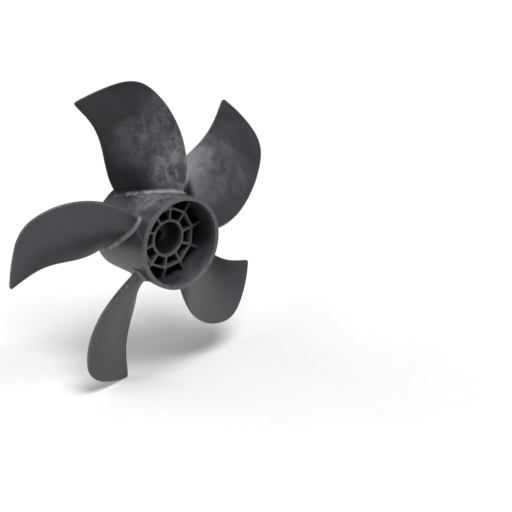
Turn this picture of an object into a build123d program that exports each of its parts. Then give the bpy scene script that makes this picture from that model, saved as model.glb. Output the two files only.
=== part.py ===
"""Five-blade composite propeller for a transverse tunnel thruster.

Frame: the shaft axis is Y and the open mouth of the hub faces -Y. The origin is on the shaft axis, in the
front face of the drive bush, where the shaft's drive pin pushes. +Z is up. All sizes are in millimetres.

Around the shaft, an angle is measured from straight up, anticlockwise as seen from the mouth. Along the
shaft, a depth is measured from the plane of the mouth towards the back.
"""
from build123d import *
import math
import os

os.makedirs("parts", exist_ok=True)

# Propeller and tunnel
tunnel_diameter = 300.0
tip_clearance = 2.0
propeller_radius = tunnel_diameter / 2 - tip_clearance
blade_count = 5
first_blade_angle = -43.6
blade_spacing = 360.0 / blade_count

# Hub barrel, a cup with its mouth at depth 0
hub_length = 78.0
hub_radius_mouth = 43.9
hub_radius_back = 42.3
hub_bore_radius = 39.8
back_wall = 6.0
back_corner_radius = 2.7
mouth_edge_radius = 0.6

# Ribbed core inside the barrel
rib_count = 10
core_recess = 20.0
sleeve_bore_radius = 15.4
sleeve_radius = 18.2
ring_radius = 30.0
ring_thickness = 2.4
rib_thickness = 2.4
web_setback = 2.0
sleeve_heel_radius = 12.0

# Drive bush, moulded into the back of the core
seat_depth = 54.0
shaft_bore_radius = 11.0
bush_radius = sleeve_bore_radius
bush_chamfer = 0.8
same_radius = 0.01
drive_slot_width = 6.4
drive_slot_depth = 6.0
lock_groove_radius = 1.5
lock_groove_count = rib_count

# Blades
root_radius = 42.0
root_face_depth = 16.5
blade_reference_angle = -24.0
section_heights = (30.0, 42.0, 54.0, 68.0, 84.0, 100.0, 116.0, 132.0, 150.0)
lead_edge_overrun = 7.0
tip_arc_lead = 14.0
# The leading edge seen from the mouth, as radius and angle from the blade's own zero, tip first
lead_outline = (
    (146.4, -21.8),
    (138.8, -27.5),
    (120, -35.1),
    (100, -41.4),
    (80, -46.4),
    (60, -49.6),
    (48, -50.4),
    (34, -50.6),
)
# Two places clear of the blade, where its outline goes round behind the trailing edge
clear_below = (20, 0)
clear_behind = (90, 35)
tip_corner = 3.0
tip_corner_angle = 1.2
points_per_face = 9
chord_passes = 12

# Blade feet, let into the barrel wall
foot_margin = 3.4
foot_front_depth = 14.0
foot_back_depth = 69.0
foot_stand_proud = 0.7
foot_let_in = 2.4
foot_base = 28.0
foot_lead_side = -21.0
tenon_front_depth = 22.0


def cross_plane(depth):
    """A plane across the shaft, seen from the mouth: local x is +X and local y is +Z."""
    return Plane(origin=(0, depth - seat_depth, 0), x_dir=(1, 0, 0), z_dir=(0, -1, 0))


def half_plane():
    """The plane through the axis for turned outlines: local x is the radius and local y is the depth."""
    return Plane(origin=(0, -seat_depth, 0), x_dir=(1, 0, 0), z_dir=(0, 0, 1))


def around(radius, angle):
    """A point of a cross plane from a radius and an angle in degrees."""
    turn = math.radians(90 + angle)
    return (radius * math.cos(turn), radius * math.sin(turn))


def span(radius):
    """0 at the blade's tip and 1 at its root."""
    return (propeller_radius - radius) / (propeller_radius - root_radius)


def lead_angle(s):
    return -24.0 - 47.0 * s + 19.0 * s**2


def lead_depth(s):
    return 45.0 - 32.0 * s - 4.0 * s**2 + 9.8 * s**3


def trail_angle(s):
    return -7.2 * s - 42.9 * s**2 + 141.9 * s**3 - 87.1 * s**4


def trail_depth(s):
    return 61.7 - 6.3 * s + 12.3 * s**2 - 2.5 * s**3


def lead_thickness(s):
    return 2.2 + 7.3 * max(s, 0) ** 2.5


def trail_thickness(s):
    return 1.6 + 1.2 * max(s, 0)


def crown_thickness(s):
    return 0.5 + 3.7 * max(s, 0)


def camber(s):
    return 1.5 + 2.0 * max(s, 0)


def section_plane(height):
    """A plane across a blade: local x runs anticlockwise round the shaft and local y runs to the mouth."""
    turn = math.radians(blade_reference_angle)
    outward = Vector(-math.sin(turn), 0, math.cos(turn))
    sideways = Vector(-math.cos(turn), 0, -math.sin(turn))
    return Plane(origin=outward * height - Vector(0, seat_depth, 0), x_dir=sideways, z_dir=outward)


def chord_point(height, fraction):
    """Place on the blade's working surface, from 0 at the leading edge to 1 at the trailing edge."""
    across = 0.0
    for _ in range(chord_passes):
        radius = math.hypot(height, across)
        s = span(radius)
        start = lead_angle(s) - lead_edge_overrun
        angle = start + (trail_angle(s) - start) * fraction
        across = height * math.tan(math.radians(angle - blade_reference_angle))
    true_fraction = (angle - lead_angle(s)) / (trail_angle(s) - lead_angle(s))
    depth = lead_depth(s) + (trail_depth(s) - lead_depth(s)) * true_fraction
    bow = camber(s) * 4 * true_fraction * (1 - true_fraction)
    return Vector(across, -depth + bow, 0), true_fraction, s


def section_faces(height):
    """Points along the front and back faces of one blade section, from lead to trail."""
    places = [chord_point(height, i / (points_per_face - 1)) for i in range(points_per_face)]
    front = []
    back = []
    chord = (places[-1][0] - places[0][0]).normalized()
    to_front = Vector(-chord.Y, chord.X, 0)
    for place, fraction, s in places:
        share = min(max(fraction, 0), 1)
        lead_part = lead_thickness(s) * (1 - share)
        trail_part = trail_thickness(s) * share
        crown = crown_thickness(s) * 4 * share * (1 - share)
        front.append(place + to_front * (lead_part + crown / 2))
        back.append(place - to_front * (trail_part + crown / 2))
    return front, back


# ---------------------------------------------------------------- drive bush
with BuildPart() as drive_bush:
    bush_length = hub_length - seat_depth
    with BuildSketch(cross_plane(seat_depth)):
        Circle(bush_radius)
        Circle(shaft_bore_radius, mode=Mode.SUBTRACT)
        with PolarLocations(bush_radius, lock_groove_count, start_angle=90 + 180 / rib_count):
            Circle(lock_groove_radius, mode=Mode.SUBTRACT)
    extrude(amount=-bush_length)
    with BuildSketch(cross_plane(seat_depth)):
        Rectangle(2 * bush_radius, drive_slot_width)
    extrude(amount=-drive_slot_depth, mode=Mode.SUBTRACT)
    bore_rims = drive_bush.edges().filter_by(GeomType.CIRCLE)
    back_rim = bore_rims.filter_by(lambda edge: abs(edge.radius - shaft_bore_radius) < same_radius)
    chamfer(back_rim.sort_by(Axis.Y)[-1], bush_chamfer)
drive_bush.part.label = "drive_bush"

# ---------------------------------------------------------------- blades
with BuildPart() as foot_ring:
    # The outer part of the barrel wall, and a little above it, which the feet are cut from.
    with BuildSketch(half_plane()):
        top = hub_radius_mouth + foot_stand_proud
        bottom = hub_radius_mouth - foot_let_in
        taper = hub_radius_mouth - hub_radius_back
        with BuildLine():
            Polyline(
                (bottom, 0),
                (top, 0),
                (top - taper, hub_length),
                (bottom - taper, hub_length),
                close=True,
            )
        make_face()
    revolve(axis=Axis.Y)

with BuildPart() as blade_form:
    for height in section_heights:
        front, back = section_faces(height)
        with BuildSketch(section_plane(height)):
            with BuildLine():
                Spline(*front)
                Line(front[-1], back[-1])
                Spline(*back)
                Line(front[0], back[0])
            make_face()
    loft()
    with BuildSketch(cross_plane(root_face_depth)):
        with BuildLine():
            # Seen from the mouth: the swept leading edge, rounded into the tip, the tip's arc and its corner.
            tip = CenterArc((0, 0), propeller_radius, 90 - tip_arc_lead, tip_arc_lead - tip_corner_angle)
            corner = TangentArc(tip @ 1, around(propeller_radius - tip_corner, 0), tangent=tip % 1)
            lead = Spline(tip @ 0, *[around(radius, angle) for radius, angle in lead_outline])
            Polyline(lead @ 1, around(*clear_below), around(*clear_behind), corner @ 1)
        make_face()
    extrude(amount=-hub_length, mode=Mode.INTERSECT)

front, back = section_faces(root_radius)
chord = (front[-1] - front[0]).normalized()
to_front = Vector(-chord.Y, chord.X, 0)
foot_length = foot_back_depth - foot_front_depth
foot_middle = -(foot_front_depth + foot_back_depth) / 2

with BuildPart() as foot:
    # The foot follows the root's outline, a margin wider, with a square front end.
    with BuildSketch(section_plane(foot_base)):
        with BuildLine():
            wide = to_front * foot_margin
            beyond = chord * foot_margin
            Spline(*[point + wide for point in front])
            Line(front[-1] + wide, front[-1] + wide + beyond)
            Line(front[-1] + wide + beyond, back[-1] - wide + beyond)
            Line(back[-1] - wide + beyond, back[-1] - wide)
            Spline(*[point - wide for point in back])
            Line(front[0] + wide, back[0] - wide)
        make_face()
        with Locations((foot_lead_side, foot_middle)):
            Rectangle(2 * root_radius, foot_length, align=(Align.MIN, Align.CENTER), mode=Mode.INTERSECT)
    extrude(amount=root_radius)
    add(foot_ring.part, mode=Mode.INTERSECT)

with BuildPart() as blade_master:
    # The root itself goes on through the wall as a tenon, flush with the barrel's bore.
    add(blade_form.part)
    with BuildSketch(cross_plane(0)):
        Circle(hub_bore_radius)
    extrude(amount=-hub_length, mode=Mode.SUBTRACT)
    with BuildSketch(cross_plane(0)):
        Circle(hub_radius_mouth - foot_let_in)
    extrude(amount=-tenon_front_depth, mode=Mode.SUBTRACT)
    add(foot.part)

blades = []
for number in range(1, blade_count + 1):
    with BuildPart() as blade:
        angle = first_blade_angle + blade_spacing * (number - 1)
        add(blade_master.part, rotation=(0, -angle, 0))
    blade.part.label = f"blade_{number}"
    blades.append(blade.part)

# ---------------------------------------------------------------- hub barrel
with BuildPart() as hub_barrel:
    with BuildSketch(half_plane()):
        with BuildLine():
            Polyline(
                (hub_bore_radius, 0),
                (hub_radius_mouth, 0),
                (hub_radius_back, hub_length),
                (bush_radius - lock_groove_radius, hub_length),
                (bush_radius - lock_groove_radius, hub_length - back_wall),
                (hub_bore_radius, hub_length - back_wall),
                close=True,
            )
        make_face()
    revolve(axis=Axis.Y)
    rims = hub_barrel.edges().filter_by(GeomType.CIRCLE)
    fillet(rims.filter_by(lambda edge: abs(edge.radius - hub_radius_back) < same_radius), back_corner_radius)
    fillet(rims.filter_by(lambda edge: abs(edge.radius - hub_radius_mouth) < same_radius), mouth_edge_radius)
    add(drive_bush.part, mode=Mode.SUBTRACT)
    for seated in blades:
        add(seated, mode=Mode.SUBTRACT)
hub_barrel.part.label = "hub_barrel"

# ---------------------------------------------------------------- ribbed core
with BuildPart() as hub_core:
    core_length = hub_length - back_wall - core_recess
    rib_angle = 90 + first_blade_angle
    with BuildSketch(cross_plane(core_recess)):
        RegularPolygon(ring_radius, rib_count, rotation=rib_angle)
        RegularPolygon(ring_radius - ring_thickness, rib_count, rotation=rib_angle, mode=Mode.SUBTRACT)
        Circle(sleeve_radius)
        with PolarLocations(hub_bore_radius / 2, rib_count, start_angle=rib_angle):
            Rectangle(hub_bore_radius + rib_thickness, rib_thickness)
        Circle(hub_bore_radius, mode=Mode.INTERSECT)
        Circle(sleeve_bore_radius, mode=Mode.SUBTRACT)
    extrude(amount=-core_length)
    web_overshoot = (hub_radius_back - ring_radius) / (hub_bore_radius - ring_radius)
    with BuildSketch(half_plane()):
        # Outside the ring the front edges of the webs slope back to the barrel.
        with BuildLine():
            Polyline(
                (ring_radius, core_recess),
                (hub_radius_back, core_recess + web_setback * web_overshoot),
                (hub_radius_back, core_recess),
                close=True,
            )
        make_face()
    revolve(axis=Axis.Y, mode=Mode.SUBTRACT)
    # The sleeve closes in behind the bush's lock grooves.
    with BuildSketch(cross_plane(seat_depth)):
        Circle(sleeve_radius)
        Circle(sleeve_heel_radius, mode=Mode.SUBTRACT)
    extrude(amount=-(hub_length - back_wall - seat_depth))
    add(drive_bush.part, mode=Mode.SUBTRACT)
hub_core.part.label = "hub_core"

for piece in [hub_barrel.part, hub_core.part, drive_bush.part, *blades]:
    export_step(piece, f"parts/{piece.label}.step")
    print(piece.label, round(piece.volume), piece.is_valid, len(piece.solids()))
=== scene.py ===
"""Looks of the tunnel thruster propeller: meshes, materials, floor, lights and camera.

Everything is in metres in the row frame: the shaft runs along Y, the hub's open mouth faces -Y, +Z is up.
Angles are in degrees, anticlockwise as seen from the mouth. Depths run back from the plane of the mouth.
"""
import math

import bmesh
import bpy
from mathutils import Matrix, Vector


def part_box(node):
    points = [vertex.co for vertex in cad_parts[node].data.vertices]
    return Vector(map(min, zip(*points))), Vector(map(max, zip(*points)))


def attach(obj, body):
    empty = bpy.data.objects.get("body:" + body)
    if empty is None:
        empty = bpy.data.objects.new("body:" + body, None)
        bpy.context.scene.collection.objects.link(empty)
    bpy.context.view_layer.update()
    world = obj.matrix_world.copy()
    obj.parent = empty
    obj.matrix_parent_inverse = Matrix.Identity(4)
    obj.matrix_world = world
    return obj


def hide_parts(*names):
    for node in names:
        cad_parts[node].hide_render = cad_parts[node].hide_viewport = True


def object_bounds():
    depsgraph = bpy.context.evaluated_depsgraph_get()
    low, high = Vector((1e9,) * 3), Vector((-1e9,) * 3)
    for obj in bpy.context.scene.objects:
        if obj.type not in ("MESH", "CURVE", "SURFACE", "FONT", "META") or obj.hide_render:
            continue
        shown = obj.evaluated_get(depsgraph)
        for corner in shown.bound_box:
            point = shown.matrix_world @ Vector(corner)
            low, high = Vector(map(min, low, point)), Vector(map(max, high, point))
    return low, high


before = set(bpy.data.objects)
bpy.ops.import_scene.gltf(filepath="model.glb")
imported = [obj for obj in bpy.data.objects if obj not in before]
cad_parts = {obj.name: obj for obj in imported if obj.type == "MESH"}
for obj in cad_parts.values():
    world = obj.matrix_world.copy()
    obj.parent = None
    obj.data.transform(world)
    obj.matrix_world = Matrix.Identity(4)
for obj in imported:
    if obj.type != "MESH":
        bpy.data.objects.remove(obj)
cad_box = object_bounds()
MM = 0.001

# ---------------------------------------------------------------- sizes from the frame
barrel_low, barrel_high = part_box("hub_barrel")
core_low, core_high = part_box("hub_core")
MOUTH_Y = barrel_low.y
HUB_LENGTH = barrel_high.y - barrel_low.y
FLOOR_Z = cad_box[0][2]

# ---------------------------------------------------------------- sizes of the design
BLADES = 5
FIRST_BLADE = -43.6
BLADE_STEP = 360 / BLADES
TIP_RADIUS = 148 * MM
ROOT_RADIUS = 42 * MM
TIP_ARC = 14.0
TIP_CORNER = 3.0 * MM
BLADE_EDGE = 0.45 * MM

HUB_RADIUS_MOUTH = 43.9 * MM
HUB_RADIUS_BACK = 42.3 * MM
HUB_BORE = 39.8 * MM
BACK_WALL = 6 * MM
BACK_CORNER = 2.7 * MM
MOUTH_LIP = 0.6 * MM
HEEL = 1.5 * MM
EDGE_REACH = 1.3 * MM
BUSH_RADIUS = 15.4 * MM
SLEEVE_RADIUS = 18.2 * MM
RING_RADIUS = 30.0 * MM
RING_THICKNESS = 2.4 * MM
RIB_THICKNESS = 2.4 * MM
WEB_SETBACK = 2 * MM
WEB_SUNK = 0.8 * MM
RIBS = 10
RING_FLAT = math.cos(math.radians(180 / RIBS))
CELL_CORNER = 1.3 * MM
CELL_STEPS = 4
CORE_EDGE = 0.35 * MM

ROOT_FACE_DEPTH = 16.2 * MM
ROOT_FACE_ROUNDING = 3.5 * MM
NOSE_SHARE = 0.28
NOSE_POINTS = 3
FILLET = 3.2 * MM
FOOT_PROUD = 0.7 * MM
FOOT_BURIED = 1.2 * MM
FOOT_LEAD_ANGLE = -52.6
FOOT_MARGIN = 0.3 * MM
# How pale a blade's loops are from the foot's edge up, as wear and painted highlight, and how many points
# of their front face are
LEDGE_SHARES = (0.8, 1.0, 1.0, 0.9, 0.7, 0.3)
LEDGE_END = 38
SEAM_START = (-36.4, 14.6 * MM)
SEAM_END = (-22.7, 0.7 * MM)
SEAM_WIDTH = 1.1 * MM
SEAM_HEIGHT = 0.3 * MM

CHORD_STEPS = 44
SPAN_STEPS = 90
FILLET_STEPS = 6
OUTLINE_STEPS = 600
SEARCH_STEPS = 40
AROUND_STEPS = 192
ARC_STEPS = 6
SEAM_STEPS = 16

CAMERA_TURN = -41.3
CAMERA_PITCH = 19.6
CAMERA_PLACE = Vector((-0.8363, MOUTH_Y - 1.0539, 0.4665))
CAMERA_SENSOR = 36.0
CAMERA_LENS = 110.1

FLOOR_HALF = 9.0
FLOOR_GAP = 0.5 * MM
FLOOR_PALE_TO = 0.27
FLOOR_GREY_FROM = 0.8
# Each lamp's turn from behind the camera to its right, height, strength and how wide it looks
LAMPS = {
    "key": (28, 58, 2.6, 27),
    "left_key": (-45, 50, 0.6, 30),
    "left_low": (-90, 25, 0.85, 50),
    "top": (0, 90, 0.2, 70),
}
SKY_STRENGTH = 0.17


# ---------------------------------------------------------------- blade design
def span_share(radius):
    """0 at the blade's tip and 1 at its root."""
    return (TIP_RADIUS - radius) / (TIP_RADIUS - ROOT_RADIUS)


def lead_angle(s):
    return -24.0 - 47.0 * s + 19.0 * s**2


def lead_depth(s):
    return (45.0 - 32.0 * s - 4.0 * s**2 + 9.8 * s**3) * MM


def trail_angle(s):
    return -7.2 * s - 42.9 * s**2 + 141.9 * s**3 - 87.1 * s**4


def trail_depth(s):
    return (61.7 - 6.3 * s + 12.3 * s**2 - 2.5 * s**3) * MM


def lead_thickness(s):
    return (2.2 + 7.3 * max(s, 0) ** 2.5) * MM


def trail_thickness(s):
    return (1.6 + 1.2 * max(s, 0)) * MM


def crown_thickness(s):
    return (0.5 + 3.7 * max(s, 0)) * MM


def camber(s):
    return (1.5 + 2.0 * max(s, 0)) * MM


def on_shaft(radius, angle, depth):
    """A point of the row frame from its radius, angle and depth."""
    turn = math.radians(angle)
    return Vector((-radius * math.sin(turn), MOUTH_Y + depth, radius * math.cos(turn)))


def hub_radius(depth):
    share = min(max(depth / HUB_LENGTH, 0), 1)
    return HUB_RADIUS_MOUTH + (HUB_RADIUS_BACK - HUB_RADIUS_MOUTH) * share


def catmull(points, t):
    """A smooth curve through the points, t from 0 at the first to 1 at the last."""
    last = len(points) - 1
    place = min(max(t, 0), 1) * last
    i = min(int(place), last - 1)
    u = place - i
    p1, p2 = points[i], points[i + 1]
    p0 = points[i - 1] if i else tuple(2 * a - b for a, b in zip(p1, p2))
    p3 = points[i + 2] if i + 2 <= last else tuple(2 * b - a for a, b in zip(p1, p2))
    return tuple(
        0.5 * (2 * b + (c - a) * u + (2 * a - 5 * b + 4 * c - d) * u**2 + (3 * b - a - 3 * c + d) * u**3)
        for a, b, c, d in zip(p0, p1, p2, p3)
    )


# The leading edge's outline (radius in mm, angle) from the root, round the corner and on to the tip's arc.
LEAD_OUTLINE = (
    (47.4, -50.4), (60.0, -49.5), (75.0, -47.1), (90.0, -44.0), (105.0, -39.9), (120.0, -35.1),
    (131.0, -30.9), (138.8, -27.5), (143.6, -24.6), (146.4, -21.6), (147.7, -18.3), (148.0, -TIP_ARC),
)


def lead_outline():
    """Evenly spaced points (radius, angle) along the leading edge's outline, one for each row."""
    fine = [catmull(LEAD_OUTLINE, i / OUTLINE_STEPS) for i in range(OUTLINE_STEPS + 1)]
    flat = [Vector((r * math.sin(math.radians(a)), r * math.cos(math.radians(a)))) for r, a in fine]
    run = [0.0]
    for before, after in zip(flat, flat[1:]):
        run.append(run[-1] + (after - before).length)
    rows = []
    place = 0
    for row in range(SPAN_STEPS + 1):
        goal = run[-1] * row / SPAN_STEPS
        while place < len(run) - 2 and run[place + 1] < goal:
            place += 1
        share = (goal - run[place]) / (run[place + 1] - run[place])
        radius, angle = (p + (q - p) * share for p, q in zip(fine[place], fine[place + 1]))
        rows.append((min(radius * MM, TIP_RADIUS), angle))
    return rows


def design_point(radius, fraction):
    """Angle and depth on the design surface: the back face at the lead and the front face at the trail."""
    s = span_share(radius)
    angle = lead_angle(s) + (trail_angle(s) - lead_angle(s)) * fraction
    depth = lead_depth(s) + (trail_depth(s) - lead_depth(s)) * fraction
    bow = camber(s) * 4 * fraction * (1 - fraction)
    return angle, depth - bow


def face_point(radius, fraction, front):
    """Angle and depth of a point on the front or the back face of the blade."""
    s = span_share(radius)
    step = 0.01
    a0, d0 = design_point(radius, fraction - step)
    a1, d1 = design_point(radius, fraction + step)
    angle, depth = design_point(radius, fraction)
    along = math.radians(a1 - a0) * radius
    deeper = d1 - d0
    size = math.hypot(along, deeper)
    share = min(max(fraction, 0), 1)
    crown = crown_thickness(s) * 2 * share * (1 - share)
    if front:
        rise = lead_thickness(s) * (1 - share) + crown
    else:
        rise = -(trail_thickness(s) * share + crown)
    # The front face looks to the mouth and anticlockwise.
    return angle + math.degrees(rise * deeper / size / radius), depth - rise * along / size


def round_tip(radius, fraction):
    """Moves points near the corner of the tip and the trailing edge, so that the corner is rounded off."""
    s = span_share(radius)
    chord = radius * math.radians(trail_angle(s) - lead_angle(s))
    from_tip = TIP_RADIUS - radius
    from_trail = chord * (1 - fraction)
    if max(from_tip, from_trail) >= TIP_CORNER:
        return radius, fraction
    up = 1 - from_tip / TIP_CORNER
    along = 1 - from_trail / TIP_CORNER
    round_up = up * math.sqrt(1 - along**2 / 2)
    round_along = along * math.sqrt(1 - up**2 / 2)
    return TIP_RADIUS - TIP_CORNER * (1 - round_up), 1 - TIP_CORNER * (1 - round_along) / chord


def lead_fraction(radius, angle_limit, front):
    """Where a face starts along the chord, at an angle limit."""
    low, high = -0.6, 1.0
    for _ in range(SEARCH_STEPS):
        middle = (low + high) / 2
        if face_point(radius, middle, front)[0] >= angle_limit:
            high = middle
        else:
            low = middle
    return high


def behind_root_face(depth):
    """Keeps the front of a root behind its flat end, with a rounded change from one to the other."""
    gap = math.hypot(depth - ROOT_FACE_DEPTH, ROOT_FACE_ROUNDING)
    return (depth + ROOT_FACE_DEPTH + gap) / 2


def section_loop(lead_radius, lead_limit, trail_radius):
    """A closed loop round the blade as (radius, angle, depth): front, trailing edge, back, leading edge."""
    inset = math.degrees(NOSE_SHARE * lead_thickness(span_share(lead_radius)) / lead_radius)
    faces = []
    for is_front in (True, False):
        start = lead_fraction(lead_radius, lead_limit + inset, is_front)
        face = []
        for i in range(CHORD_STEPS + 1):
            u = i / CHORD_STEPS
            even_radius = lead_radius + (trail_radius - lead_radius) * u
            radius, fraction = round_tip(even_radius, start + (1 - start) * u)
            angle, depth = face_point(radius, fraction, is_front)
            face.append((radius, angle, behind_root_face(depth)))
        faces.append(face)
    front, back = faces
    trail = tuple((a + b) / 2 for a, b in zip(front[-1], back[-1]))
    middle = (front[0][2] + back[0][2]) / 2
    half = (back[0][2] - front[0][2]) / 2
    nose = []
    for i in range(NOSE_POINTS):
        turn = math.pi * (i + 1) / (NOSE_POINTS + 1)
        angle = lead_limit + inset * (1 - math.sin(turn))
        nose.append((lead_radius, angle, middle + half * math.cos(turn)))
    return front + [trail] + back[::-1] + nose


def spread(loop, amount):
    """The loop moved outwards over the hub by an amount, with square corners."""
    flat = [Vector((math.radians(a) * r, d)) for r, a, d in loop]
    count = len(flat)
    moved = []
    for i, (radius, angle, depth) in enumerate(loop):
        before, here, after = flat[i - 1], flat[i], flat[(i + 1) % count]
        one = (here - before).normalized()
        two = (after - here).normalized()
        out_one = Vector((one.y, -one.x))
        out_two = Vector((two.y, -two.x))
        out = (out_one + out_two).normalized()
        stretch = min(1 / max(out.dot(out_one), 0.3), 1.6)
        shift = out * amount * stretch
        moved_angle = max(angle + math.degrees(shift.x / radius), FOOT_LEAD_ANGLE)
        moved.append((radius, moved_angle, depth + shift.y))
    return moved


def blade_rows():
    """All loops of a blade, from the one sunk into the barrel to the tip."""
    def root_loop(height):
        lead = hub_radius(ROOT_FACE_DEPTH) + FOOT_PROUD + height
        trail = hub_radius(trail_depth(1)) + FOOT_PROUD + height
        return section_loop(lead, LEAD_OUTLINE[0][1], trail)

    def set_on_hub(loop, height):
        return [(hub_radius(d) + height, a, d) for _, a, d in loop]

    rows = []
    base = root_loop(0)
    for height in (-FOOT_BURIED, FOOT_PROUD):
        rows.append(set_on_hub(spread(base, FILLET + FOOT_MARGIN), height))
    for i in range(FILLET_STEPS):
        turn = math.radians(90) * (1 - i / FILLET_STEPS)
        height = FILLET * (1 - math.sin(turn))
        out = FILLET * (1 - math.cos(turn))
        rows.append(set_on_hub(spread(root_loop(height), out), FOOT_PROUD + height))
    outline = lead_outline()
    start = hub_radius(trail_depth(1)) + FOOT_PROUD + FILLET
    for row, (lead_radius, lead_limit) in enumerate(outline):
        trail_radius = start + (TIP_RADIUS - start) * row / SPAN_STEPS
        rows.append(section_loop(lead_radius, lead_limit, trail_radius))
    return rows


def smooth(obj, angle=35):
    """Smooth shading with edges kept where faces meet at more than the angle."""
    mesh = obj.data
    mesh.shade_smooth()
    mesh.set_sharp_from_angle(angle=math.radians(angle))


def finish_piece(obj, node, material):
    mark_edges(obj)
    obj.data.materials.clear()
    obj.data.materials.append(material)
    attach(obj, "root")
    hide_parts(node)


def add_bevel(obj, width, segments=3, angle=32):
    bevel = obj.modifiers.new("edges", "BEVEL")
    bevel.width = width
    bevel.segments = segments
    bevel.limit_method = "ANGLE"
    bevel.angle_limit = math.radians(angle)
    bevel.miter_outer = "MITER_ARC"


def mark_edges(obj, reach=EDGE_REACH, sharp=13):
    """Writes how near each point is to an outer edge, for the wear and painted edge highlight in the
    material.
    """
    bm = bmesh.new()
    bm.from_mesh(obj.data)
    layer = bm.verts.layers.float.new("edge")
    near = {}
    for edge in bm.edges:
        if len(edge.link_faces) == 2 and edge.is_convex and edge.calc_face_angle(0) > math.radians(sharp):
            for vertex in edge.verts:
                near[vertex] = 0.0
    front = list(near)
    while front:
        following = []
        for vertex in front:
            for edge in vertex.link_edges:
                other = edge.other_vert(vertex)
                distance = near[vertex] + edge.calc_length()
                if distance < reach and distance < near.get(other, reach):
                    near[other] = distance
                    following.append(other)
        front = following
    for vertex, distance in near.items():
        vertex[layer] = 1 - distance / reach
    bm.to_mesh(obj.data)
    bm.free()


def new_object(name, bm):
    mesh = bpy.data.meshes.new(name)
    bm.normal_update()
    bm.to_mesh(mesh)
    bm.free()
    obj = bpy.data.objects.new(name, mesh)
    bpy.context.collection.objects.link(obj)
    return obj


def apply_modifiers(obj):
    graph = bpy.context.evaluated_depsgraph_get()
    mesh = bpy.data.meshes.new_from_object(obj.evaluated_get(graph))
    obj.modifiers.clear()
    obj.data = mesh


def build_blade(number, rows, material):
    angle = FIRST_BLADE + BLADE_STEP * (number - 1)
    bm = bmesh.new()
    ledge = bm.verts.layers.float.new("ledge")
    grid = [[bm.verts.new(on_shaft(r, a + angle, d)) for r, a, d in loop] for loop in rows]
    count = len(grid[0])
    # Marks the root ledge for wear and painted highlight.
    for ring, share in zip(grid[1:], LEDGE_SHARES):
        for vertex in ring[: LEDGE_END] + ring[-NOSE_POINTS:]:
            vertex[ledge] = share
    for lower, upper in zip(grid, grid[1:]):
        for i in range(count):
            j = (i + 1) % count
            bm.faces.new((lower[i], lower[j], upper[j], upper[i]))
    # The tip and the sunk end are closed by strips from the front face to the back face.
    for ring, order in ((grid[-1], 1), (grid[0], -1)):
        last = CHORD_STEPS
        front = ring[: last + 1]
        back = ring[last + 2: 2 * last + 3][::-1]
        for i in range(last):
            quad = (front[i], front[i + 1], back[i + 1], back[i])
            bm.faces.new(quad[::order])
        bm.faces.new((front[last], ring[last + 1], back[last])[::order])
        bm.faces.new((back[0], *ring[-NOSE_POINTS:], front[0])[::order])
    bmesh.ops.recalc_face_normals(bm, faces=bm.faces)
    obj = new_object(f"blade_{number}_skin", bm)
    add_bevel(obj, BLADE_EDGE)
    apply_modifiers(obj)
    smooth(obj)
    finish_piece(obj, f"blade_{number}", material)


# ---------------------------------------------------------------- hub
def turned(outline):
    """The mesh of a solid turned about the shaft from a closed outline of (radius, depth)."""
    bm = bmesh.new()
    rings = []
    for i in range(AROUND_STEPS):
        angle = 360 * i / AROUND_STEPS
        rings.append([bm.verts.new(on_shaft(r, angle, d)) for r, d in outline])
    for i, ring in enumerate(rings):
        following = rings[(i + 1) % AROUND_STEPS]
        for j in range(len(outline)):
            k = (j + 1) % len(outline)
            bm.faces.new((ring[j], following[j], following[k], ring[k]))
    return bm


def add_seam(bm, blade_angle):
    """A low rib on the barrel, left by the mould's parting, from a blade's root to the mouth."""
    a0, d0 = SEAM_START
    a1, d1 = SEAM_END
    run = Vector((math.radians(a1 - a0) * HUB_RADIUS_MOUTH, d1 - d0)).normalized()
    profile = ((-0.5, -1.0), (-0.38, 0.45), (0.0, 1.0), (0.38, 0.45), (0.5, -1.0))
    rows = []
    for i in range(SEAM_STEPS + 1):
        u = i / SEAM_STEPS
        taper = math.sin(math.pi * min(max(u, 0.03), 0.97)) ** 0.35
        row = []
        for side, height in profile:
            shift = side * SEAM_WIDTH
            depth = d0 + (d1 - d0) * u + run.x * shift
            angle = a0 + (a1 - a0) * u - math.degrees(run.y * shift / HUB_RADIUS_MOUTH)
            radius = hub_radius(depth) + height * SEAM_HEIGHT * taper
            row.append(bm.verts.new(on_shaft(radius, angle + blade_angle, depth)))
        rows.append(row)
    count = len(profile)
    for before, after in zip(rows, rows[1:]):
        for i in range(count):
            j = (i + 1) % count
            bm.faces.new((before[i], before[j], after[j], after[i]))
    bm.faces.new(rows[0])
    bm.faces.new(rows[-1][::-1])


def arc(center, radius, start, end):
    """Points of an arc in (radius, depth), angles from the outward direction towards the back."""
    points = []
    for i in range(ARC_STEPS + 1):
        turn = math.radians(start + (end - start) * i / ARC_STEPS)
        points.append((center[0] + radius * math.cos(turn), center[1] + radius * math.sin(turn)))
    return points


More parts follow.
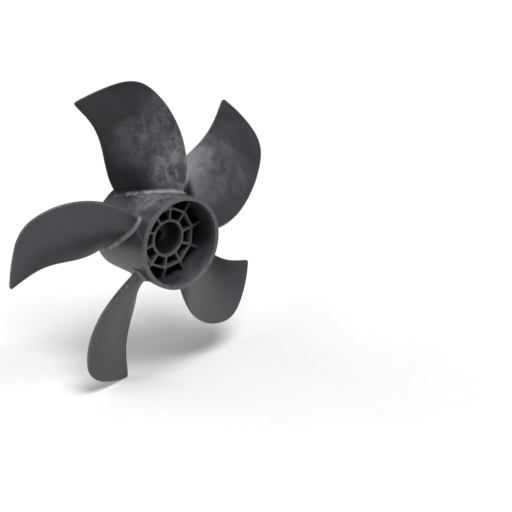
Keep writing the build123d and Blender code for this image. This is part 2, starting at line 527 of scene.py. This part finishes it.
def build_barrel(material):
    floor = HUB_LENGTH - BACK_WALL
    back_flat = HUB_RADIUS_BACK - BACK_CORNER
    # Two loops on the back keep the wear and painted edge highlight near its edges.
    limit = EDGE_REACH + 0.1 * MM
    outline = (
        arc((HUB_BORE + MOUTH_LIP, MOUTH_LIP), MOUTH_LIP, 180, 270)
        + arc((HUB_RADIUS_MOUTH - MOUTH_LIP, MOUTH_LIP), MOUTH_LIP, 270, 360)
        + [(hub_radius(d * MM), d * MM) for d in range(4, 74, 5)]
        + arc((back_flat, HUB_LENGTH - BACK_CORNER), BACK_CORNER, 0, 90)
        + [(back_flat - limit, HUB_LENGTH), (BUSH_RADIUS + limit, HUB_LENGTH)]
        + [(BUSH_RADIUS, HUB_LENGTH), (BUSH_RADIUS, floor)]
        + arc((HUB_BORE - HEEL, floor - HEEL), HEEL, 90, 0)
        + [(HUB_BORE, d * MM) for d in range(60, 4, -8)]
    )
    bm = turned(outline)
    for number in range(BLADES):
        add_seam(bm, FIRST_BLADE + BLADE_STEP * number)
    bmesh.ops.recalc_face_normals(bm, faces=bm.faces)
    obj = new_object("hub_barrel_shell", bm)
    smooth(obj)
    finish_piece(obj, "hub_barrel", material)


def rounded(points, corners, radius):
    """A closed outline with the numbered corners rounded off."""
    out = []
    count = len(points)
    for i, point in enumerate(points):
        if i not in corners:
            out.append(point)
            continue
        before = (points[i - 1] - point).normalized()
        after = (points[(i + 1) % count] - point).normalized()
        half = before.angle(after) / 2
        cut = radius / math.tan(half)
        start, end = point + before * cut, point + after * cut
        for k in range(ARC_STEPS + 1):
            u = k / ARC_STEPS
            out.append(start * (1 - u) ** 2 + point * 2 * u * (1 - u) + end * u**2)
    return out


def turn_flat(points, angle):
    """Flat points turned anticlockwise, from a cell drawn round the upward direction."""
    c, s = math.cos(math.radians(angle)), math.sin(math.radians(angle))
    return [Vector((p.x * c - p.y * s, p.x * s + p.y * c)) for p in points]


def on_rib_side(radius):
    """A flat point on the near side of the rib that is half a step to the right of straight up."""
    half_step = math.radians(180 / RIBS)
    half_rib = RIB_THICKNESS / 2
    along = Vector((math.sin(half_step), math.cos(half_step)))
    inward = Vector((-math.cos(half_step), math.sin(half_step)))
    return inward * half_rib + along * math.sqrt(radius**2 - half_rib**2)


def inner_cell():
    """The hole between the sleeve, the ring and two ribs, round the upward direction, and its corners."""
    low = on_rib_side(SLEEVE_RADIUS)
    half = math.atan2(low.x, low.y)
    turns = [half * (1 - 2 * i / CELL_STEPS) for i in range(CELL_STEPS + 1)]
    outline = [Vector((SLEEVE_RADIUS * math.sin(a), SLEEVE_RADIUS * math.cos(a))) for a in turns]
    height = (RING_RADIUS - RING_THICKNESS) * RING_FLAT
    reach = low.x + (height - low.y) * math.tan(math.radians(180 / RIBS))
    outline += [Vector((-reach, height)), Vector((reach, height))]
    return outline, {0, CELL_STEPS, CELL_STEPS + 1, CELL_STEPS + 2}


def star_outline():
    """The outside of the ring and its webs, which run on a little way into the barrel's wall."""
    outline = []
    corners = set()
    height = RING_RADIUS * RING_FLAT
    end = on_rib_side(HUB_BORE + WEB_SUNK)
    reach = end.x + (height - end.y) * math.tan(math.radians(180 / RIBS))
    bay = [end, Vector((reach, height)), Vector((-reach, height)), Vector((-end.x, end.y))]
    for rib in range(RIBS):
        first = len(outline)
        outline += turn_flat(bay, FIRST_BLADE + 360 / RIBS * (rib + 0.5))
        corners |= {first + 1, first + 2}
    return outline, corners


def build_core(material):
    length = core_high.y - core_low.y
    data = bpy.data.curves.new("hub_core_plan", "CURVE")
    data.dimensions = "2D"
    data.fill_mode = "BOTH"
    data.extrude = length / 2 - CORE_EDGE
    data.bevel_depth = CORE_EDGE
    data.bevel_resolution = 2
    data.offset = -CORE_EDGE

    def add_outline(points):
        spline = data.splines.new("POLY")
        spline.points.add(len(points) - 1)
        for target, point in zip(spline.points, points):
            target.co = (point.x, point.y, 0, 1)
        spline.use_cyclic_u = True

    turns = [2 * math.pi * i / AROUND_STEPS for i in range(AROUND_STEPS)]
    add_outline(rounded(*star_outline(), CELL_CORNER))
    add_outline([Vector((BUSH_RADIUS * math.cos(a), BUSH_RADIUS * math.sin(a))) for a in turns])
    cell = rounded(*inner_cell(), CELL_CORNER)
    for rib in range(RIBS):
        add_outline(turn_flat(cell, FIRST_BLADE + 360 / RIBS * (rib + 0.5)))
    plan = bpy.data.objects.new("hub_core_plan", data)
    bpy.context.collection.objects.link(plan)
    graph = bpy.context.evaluated_depsgraph_get()
    mesh = bpy.data.meshes.new_from_object(plan.evaluated_get(graph))
    bpy.data.objects.remove(plan)
    middle = (core_low.y + core_high.y) / 2
    front_limit = length / 2 - 1.5 * CORE_EDGE
    for vertex in mesh.vertices:
        x, z, forward = vertex.co
        radius = math.hypot(x, z)
        if forward > front_limit:
            share = min(max((radius - RING_RADIUS) / (HUB_BORE - RING_RADIUS), 0), 1)
            forward -= WEB_SETBACK * share
        vertex.co = (x, middle - forward, z)
    bm = bmesh.new()
    bm.from_mesh(mesh)
    bmesh.ops.remove_doubles(bm, verts=bm.verts, dist=1e-6)
    bmesh.ops.recalc_face_normals(bm, faces=bm.faces)
    obj = new_object("hub_core_spider", bm)
    smooth(obj)
    finish_piece(obj, "hub_core", material)


# ---------------------------------------------------------------- materials
DARK = (0.025, 0.027, 0.032)
LIGHT = (0.034, 0.036, 0.043)
PALE_BLOOM_AND_LIGHT = (0.142, 0.147, 0.158)
SCUFFED = (0.26, 0.265, 0.275)
EDGE_WEAR_AND_HIGHLIGHT = (0.125, 0.128, 0.134)
RUB_AND_HIGHLIGHT = (0.34, 0.345, 0.355)
BRONZE = (0.065, 0.05, 0.032)
DULL_BRONZE = (0.035, 0.028, 0.02)
FLOOR_PALE = (0.865, 0.865, 0.865)
FLOOR_PALEST = (0.88, 0.88, 0.88)
FLOOR_GREY = (0.48, 0.48, 0.48)
# How much each kind of wear, painted highlight and painted shade covers at its strongest
SCUFF_SHARE = 0.3
PIT_SHARE = 0.8
EDGE_WEAR_HIGHLIGHT_SHARE = 0.5
SHADE_WEDGE_SHARE = 0.85
SKIN_RELIEF = 0.12 * MM
FIBRE_RELIEF = 0.04 * MM
RING_RELIEF = 0.03 * MM
SHADE_DEPTH = 5 * MM
# Where the skin is chalky and scuffed, partly as painted light: center, radius and strength
BLADE_CHALK_AND_LIGHT = (
    # The first four, on blade_2's side that faces the lamps, are chalk and painted light; the last two, on
    # blade_1, are chalk and scuffs.
    ((17 * MM, -32 * MM, 63 * MM), 37 * MM, 1.0),
    ((6 * MM, -24 * MM, 92 * MM), 40 * MM, 0.52),
    ((-16 * MM, -12 * MM, 92 * MM), 32 * MM, 0.35),
    ((10 * MM, -22 * MM, 118 * MM), 34 * MM, 0.36),
    ((66 * MM, 0, 56 * MM), 22 * MM, 1.0),
    ((74 * MM, -12 * MM, 50 * MM), 55 * MM, 0.35),
)
HUB_CHALK_AND_LIGHT = (
    # Painted highlight with chalk on the top of the barrel, where light falls from above.
    ((-7 * MM, -30 * MM, 43 * MM), 33 * MM, 1.0),
    # Painted light on the lower inside wall, where the lamps shine into the mouth.
    ((22 * MM, -48 * MM, -33 * MM), 34 * MM, 0.3),
)
# Painted shade in the valley between the first two blades, where little light reaches: its bottom, its end,
# its width and how soft its limit is
VALLEY_SHADE = (Vector((38.5, -13.5, 26.5)) * MM, Vector((50.8, -5.0, 43.2)) * MM, 8.0 * MM, 5.0 * MM)


class Graph:
    """A material's nodes, with short calls to add and join them."""

    def __init__(self, name):
        self.material = bpy.data.materials.new(name)
        self.material.use_nodes = True
        self.tree = self.material.node_tree
        self.shader = self.tree.nodes["Principled BSDF"]
        self.place = self.add("ShaderNodeTexCoord").outputs["Object"]

    def add(self, kind, **settings):
        node = self.tree.nodes.new(kind)
        for key, value in settings.items():
            setattr(node, key, value)
        return node

    def join(self, output, target):
        self.tree.links.new(output, target)

    def noise(self, scale, detail=3.0, roughness=0.55, distortion=0.0, stretch=(1, 1, 1)):
        mapping = self.add("ShaderNodeMapping")
        mapping.inputs["Scale"].default_value = stretch
        self.join(self.place, mapping.inputs["Vector"])
        node = self.add("ShaderNodeTexNoise")
        node.inputs["Scale"].default_value = scale
        node.inputs["Detail"].default_value = detail
        node.inputs["Roughness"].default_value = roughness
        node.inputs["Distortion"].default_value = distortion
        self.join(mapping.outputs["Vector"], node.inputs["Vector"])
        return node.outputs["Fac"]

    def remap(self, value, low, high, to_low=0.0, to_high=1.0):
        """A smooth change from one share to another between two limits of the value."""
        node = self.add("ShaderNodeMapRange")
        node.interpolation_type = "SMOOTHSTEP"
        node.inputs["From Min"].default_value = low
        node.inputs["From Max"].default_value = high
        node.inputs["To Min"].default_value = to_low
        node.inputs["To Max"].default_value = to_high
        self.join(value, node.inputs["Value"])
        return node.outputs["Result"]

    def patches(self, scale, limits, shares=(0.0, 1.0), **noise):
        """Soft patches of a noise, with the first share below its limits and the second above them."""
        return self.remap(self.noise(scale, **noise), *limits, *shares)

    def math(self, operation, one, two=0.0):
        node = self.add("ShaderNodeMath", operation=operation)
        for socket, value in zip(node.inputs, (one, two)):
            if isinstance(value, (int, float)):
                socket.default_value = value
            else:
                self.join(value, socket)
        return node.outputs["Value"]

    def mix(self, share, one, two):
        node = self.add("ShaderNodeMix", data_type="RGBA")
        factor, first, second = node.inputs[0], node.inputs[6], node.inputs[7]
        self.join(share, factor)
        for socket, value in ((first, one), (second, two)):
            if isinstance(value, tuple):
                socket.default_value = (*value, 1)
            else:
                self.join(value, socket)
        return node.outputs[2]

    def zone(self, places):
        """A ragged share, strongest near the places, each given as a center, a radius and a strength."""
        ragged = self.add("ShaderNodeMapRange")
        ragged.inputs["To Min"].default_value = -0.5
        ragged.inputs["To Max"].default_value = 0.5
        self.join(self.noise(38, detail=5, roughness=0.7, distortion=0.8), ragged.inputs["Value"])
        total = None
        for center, radius, strength in places:
            away = self.add("ShaderNodeVectorMath", operation="DISTANCE")
            self.join(self.place, away.inputs[0])
            away.inputs[1].default_value = center
            reach = self.math("DIVIDE", away.outputs["Value"], radius)
            reach = self.math("ADD", reach, ragged.outputs["Result"])
            inside = self.remap(reach, 1.0, 0.35, 0.0, strength)
            total = inside if total is None else self.math("MAXIMUM", total, inside)
        return total

    def wedge(self, start, end, width, softness):
        """1 along a line, over a width that shrinks to nothing at the line's end."""
        run = end - start
        offset = self.add("ShaderNodeVectorMath", operation="SUBTRACT")
        self.join(self.place, offset.inputs[0])
        offset.inputs[1].default_value = start
        along = self.add("ShaderNodeVectorMath", operation="DOT_PRODUCT")
        self.join(offset.outputs["Vector"], along.inputs[0])
        along.inputs[1].default_value = run / run.length_squared
        share = self.add("ShaderNodeClamp")
        self.join(along.outputs["Value"], share.inputs["Value"])
        nearest = self.add("ShaderNodeVectorMath", operation="SCALE")
        nearest.inputs[0].default_value = run
        self.join(share.outputs["Result"], nearest.inputs["Scale"])
        away = self.add("ShaderNodeVectorMath", operation="DISTANCE")
        self.join(offset.outputs["Vector"], away.inputs[0])
        self.join(nearest.outputs["Vector"], away.inputs[1])
        limit = self.math("MULTIPLY", self.math("SUBTRACT", 1.0, share.outputs["Result"]), width)
        return self.remap(self.math("SUBTRACT", limit, away.outputs["Value"]), -softness, softness)

    def bump(self, height, distance, under=None):
        node = self.add("ShaderNodeBump")
        node.inputs["Strength"].default_value = 1.0
        node.inputs["Distance"].default_value = distance
        self.join(height, node.inputs["Height"])
        if under is not None:
            self.join(under, node.inputs["Normal"])
        return node.outputs["Normal"]


def times(color, factor):
    return tuple(factor * channel for channel in color)


def add_bloom(g, blooms, dark, tone, rough):
    """Blotches, chalk, scuffs and pits around the blooms, laid over a tone and a roughness. Where a bloom
    stands in for light falling on the surface, its chalk is painted light.
    """
    zone = g.zone(blooms)
    blotch = g.patches(
        150, (0.43, 0.57), (0.2, 0.72), detail=3, roughness=0.6, distortion=0.6, stretch=(1.0, 1.0, 0.5)
    )
    patch = g.patches(60, (0.36, 0.56), (0.1, 0.4), detail=3, roughness=0.6, distortion=0.6)
    chalk = g.math("MULTIPLY", zone, g.math("ADD", blotch, patch))
    tone = g.mix(chalk, tone, PALE_BLOOM_AND_LIGHT)
    # Scuffs follow the lines where a noise crosses its middle.
    lines = g.noise(75, detail=2, roughness=0.5, distortion=1.2, stretch=(0.8, 0.8, 1.3))
    ridge = g.math("ABSOLUTE", g.math("SUBTRACT", lines, 0.5))
    scuff = g.math("MULTIPLY", g.remap(ridge, 0.034, 0.006), g.patches(60, (0.42, 0.55), detail=2))
    tone = g.mix(g.math("MULTIPLY", g.math("MULTIPLY", scuff, zone), SCUFF_SHARE), tone, SCUFFED)
    pit = g.math("MULTIPLY", zone, g.patches(190, (0.66, 0.72), detail=2, roughness=0.5))
    tone = g.mix(g.math("MULTIPLY", pit, PIT_SHARE), tone, times(dark, 0.5))
    return tone, g.math("ADD", rough, g.math("MULTIPLY", chalk, 0.12))


def add_edge_wear_and_highlight(g, ledge_wear_and_shine, tone):
    """Pale outer edges and paler ledges at the blade roots: wear with painted highlight over it, for the
    light that edges and ledges catch.
    """
    # Outer edges: wear, and painted highlight where edges catch the light.
    edge = g.add("ShaderNodeAttribute", attribute_name="edge").outputs["Fac"]
    broken = g.patches(300, (0.36, 0.56), (0.35, 1.0), detail=4, roughness=0.65)
    wear = g.math("MULTIPLY", g.remap(edge, 0.1, 0.8), broken)
    tone = g.mix(g.math("MULTIPLY", wear, EDGE_WEAR_HIGHLIGHT_SHARE), tone, EDGE_WEAR_AND_HIGHLIGHT)
    # Root ledges: rubbed, and painted highlight of the light they catch.
    ledge = g.add("ShaderNodeAttribute", attribute_name="ledge").outputs["Fac"]
    broken = g.patches(110, (0.34, 0.56), (0.15, 1.0), detail=4, roughness=0.6)
    rubbed = g.math("MULTIPLY", ledge, broken)
    return g.mix(g.math("MULTIPLY", rubbed, ledge_wear_and_shine), tone, RUB_AND_HIGHLIGHT)


def composite(name, dark, light, gloss=0.5, ledge_wear_and_shine=0.45, blooms=(), dark_patch=None, shade_plane=None):
    """Glass-filled composite as it leaves the mould: flow clouds, fine fibre, worn edges with painted
    highlight and a satin skin.

    Around the blooms the skin is blotched, chalky and scuffed, and in places this chalk is painted light.
    Along the given wedge the skin gets painted shade, dark and dull.
    Behind a plane across the shaft, when one is given, the walls get painted shade, darker the deeper they
    lie.
    """
    g = Graph(name)
    clouds = g.patches(26, (0.36, 0.66), detail=5, roughness=0.6, distortion=0.8)
    fibre = g.noise(700, detail=2, roughness=0.5, stretch=(1.0, 0.35, 1.0))
    speck = g.patches(1500, (0.62, 0.75), detail=2)
    tone = g.mix(clouds, dark, light)
    rough = g.remap(clouds, 0, 1, 0.37, 0.43)
    if blooms:
        tone, rough = add_bloom(g, blooms, dark, tone, rough)
    tone = g.mix(g.remap(fibre, 0.35, 0.7, 0.0, 0.25), tone, times(light, 1.5))
    tone = g.mix(g.math("MULTIPLY", speck, 0.2), tone, times(light, 2.4))
    tone = add_edge_wear_and_highlight(g, ledge_wear_and_shine, tone)
    # Painted shade along a wedge: a darker tone and less gloss where the valley lies in shade.
    if dark_patch:
        dull = g.wedge(*dark_patch)
        tone = g.mix(g.math("MULTIPLY", dull, SHADE_WEDGE_SHARE), tone, times(dark, 0.3))
        g.join(g.remap(dull, 0, 1, gloss, 0.0), g.shader.inputs["Specular IOR Level"])
    # Painted shade in the core's deep cells and bore, growing with depth.
    if shade_plane is not None:
        split = g.add("ShaderNodeSeparateXYZ")
        g.join(g.place, split.inputs["Vector"])
        shade = g.remap(split.outputs["Y"], shade_plane, shade_plane + SHADE_DEPTH, 0.0, 0.85)
        tone = g.mix(shade, tone, times(dark, 0.25))
    g.join(tone, g.shader.inputs["Base Color"])
    g.join(rough, g.shader.inputs["Roughness"])
    skin = g.bump(g.noise(420, detail=3, roughness=0.6), SKIN_RELIEF)
    g.join(g.bump(fibre, FIBRE_RELIEF, under=skin), g.shader.inputs["Normal"])
    g.shader.inputs["Specular IOR Level"].default_value = gloss
    return g.material


def turned_bronze():
    """A dull turned insert with fine rings left by the tool."""
    g = Graph("bush_bronze")
    dark_patch = g.patches(120, (0.35, 0.7), detail=4, roughness=0.6, distortion=0.5)
    rings = g.noise(2600, detail=1, roughness=0.4, stretch=(0.06, 1.0, 0.06))
    g.join(g.mix(dark_patch, BRONZE, DULL_BRONZE), g.shader.inputs["Base Color"])
    g.join(g.remap(dark_patch, 0, 1, 0.30, 0.5), g.shader.inputs["Roughness"])
    g.join(g.bump(rings, RING_RELIEF), g.shader.inputs["Normal"])
    g.shader.inputs["Metallic"].default_value = 1.0
    return g.material


# ---------------------------------------------------------------- stage
def build_floor():
    bm = bmesh.new()
    corners = [(x * FLOOR_HALF, y * FLOOR_HALF) for x, y in ((-1, -1), (1, -1), (1, 1), (-1, 1))]
    bm.faces.new([bm.verts.new((x, y, FLOOR_Z - FLOOR_GAP)) for x, y in corners])
    floor = new_object("floor", bm)
    # Paler behind the object and greyer in front of it, where the camera doesn't look; the grey is painted
    # shade for the dim front of the studio, so that less light reflects from there.
    g = Graph("floor_paper")
    forward = g.add("ShaderNodeVectorMath", operation="DOT_PRODUCT")
    g.join(g.place, forward.inputs[0])
    turn = math.radians(CAMERA_TURN)
    forward.inputs[1].default_value = (math.sin(turn), -math.cos(turn), 0)
    ahead = g.remap(forward.outputs["Value"], FLOOR_PALE_TO, FLOOR_GREY_FROM)
    pale = g.mix(g.patches(90, (0.3, 0.7)), FLOOR_PALE, FLOOR_PALEST)
    g.join(g.mix(ahead, pale, FLOOR_GREY), g.shader.inputs["Base Color"])
    g.shader.inputs["Roughness"].default_value = 0.9
    floor.data.materials.append(g.material)


def add_sun(name, turn, height, strength, spread_angle):
    """A soft distant lamp. Turn is measured from behind the camera to its right, height from the floor."""
    data = bpy.data.lights.new(name, "SUN")
    data.energy = strength
    data.angle = math.radians(spread_angle)
    obj = bpy.data.objects.new(name, data)
    heading = math.radians(turn + CAMERA_TURN)
    up = math.radians(height)
    source = Vector((math.sin(heading) * math.cos(up), -math.cos(heading) * math.cos(up), math.sin(up)))
    obj.rotation_euler = (-source).to_track_quat("-Z", "Y").to_euler()
    bpy.context.collection.objects.link(obj)


def build_lights():
    world = bpy.data.worlds.new("studio")
    bpy.context.scene.world = world
    world.use_nodes = True
    sky = world.node_tree.nodes["Background"]
    sky.inputs["Color"].default_value = (1, 1, 1, 1)
    sky.inputs["Strength"].default_value = SKY_STRENGTH
    for name, settings in LAMPS.items():
        add_sun(name, *settings)


def build_camera():
    data = bpy.data.cameras.new("camera")
    data.sensor_width = CAMERA_SENSOR
    data.lens = CAMERA_LENS
    camera = bpy.data.objects.new("camera", data)
    camera.location = CAMERA_PLACE
    camera.rotation_euler = (math.radians(90 - CAMERA_PITCH), 0, math.radians(CAMERA_TURN))
    bpy.context.collection.objects.link(camera)
    bpy.context.scene.camera = camera


smooth_skin = composite("composite_smooth", DARK, LIGHT)
# blade_2's skin is a darker copy of the others, painted shade for its side turned from the lamps, with
# blooms that paint light where it faces them.
blotched_shaded_skin = composite(
    "composite_blotched_shaded", times(DARK, 0.5), times(LIGHT, 0.7), gloss=0.3, ledge_wear_and_shine=0.8, blooms=BLADE_CHALK_AND_LIGHT
)
# blade_1's skin carries painted shade in the valley at its root.
scuffed_shaded_skin = composite("composite_scuffed_shaded", DARK, LIGHT, gloss=0.4, blooms=BLADE_CHALK_AND_LIGHT, dark_patch=VALLEY_SHADE)
hub_skin = composite("composite_hub", times(DARK, 0.8), LIGHT, ledge_wear_and_shine=0, blooms=HUB_CHALK_AND_LIGHT)
core_skin = composite("composite_core", DARK, LIGHT, shade_plane=core_low.y + 1 * MM)

blade_rings = blade_rows()
for number in range(1, BLADES + 1):
    skin = {1: scuffed_shaded_skin, 2: blotched_shaded_skin}.get(number, smooth_skin)
    build_blade(number, blade_rings, skin)
build_barrel(hub_skin)
build_core(core_skin)
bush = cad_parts["drive_bush"]
bush.data.materials.clear()
bush.data.materials.append(turned_bronze())
build_floor()
build_lights()
build_camera()
bpy.context.scene.view_settings.view_transform = "Standard"
